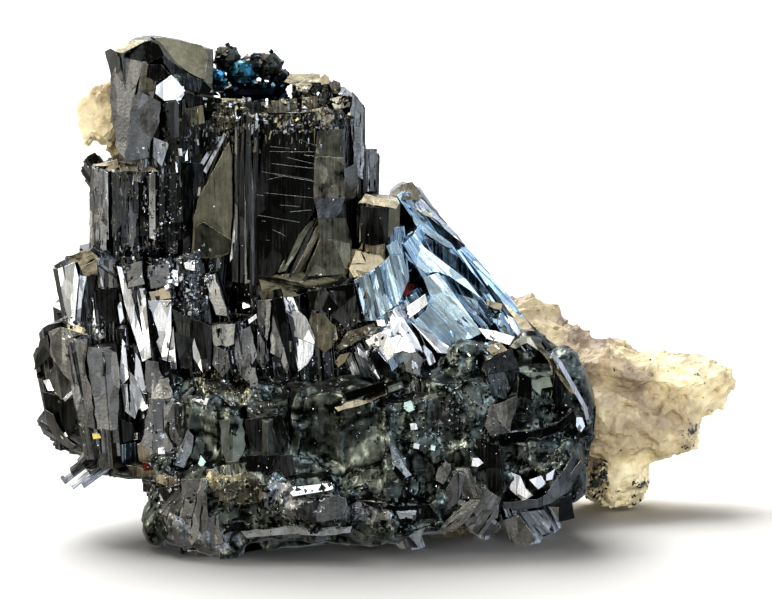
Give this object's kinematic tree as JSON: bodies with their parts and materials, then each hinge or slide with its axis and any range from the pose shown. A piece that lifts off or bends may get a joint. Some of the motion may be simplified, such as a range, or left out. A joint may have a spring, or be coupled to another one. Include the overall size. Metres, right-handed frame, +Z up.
{
  "type": "pyrargyrite mineral specimen",
  "caption": "Free-standing mineral specimen: dark striated six-sided pyrargyrite crystals grown together on a lump of pale carbonate rock, resting on flat spots under it.",
  "frame": {"origin": "middle of the specimen's box in X and Y, on the surface that it rests on", "axes": "+Z up from the surface it rests on, +X to the right along its longest way as it is displayed, +Y away from its front"},
  "size_m": [0.0395, 0.021, 0.0269],
  "materials": {
    "pyrargyrite": "polished",
    "matrix_rock": "rough",
    "tarnished_crust": "polished"
  },
  "bodies": {
    "root": {"pyrargyrite_cluster": "pyrargyrite", "matrix": "matrix_rock", "blue_tarnished_crust": "tarnished_crust"}
  },
  "joints": []
}
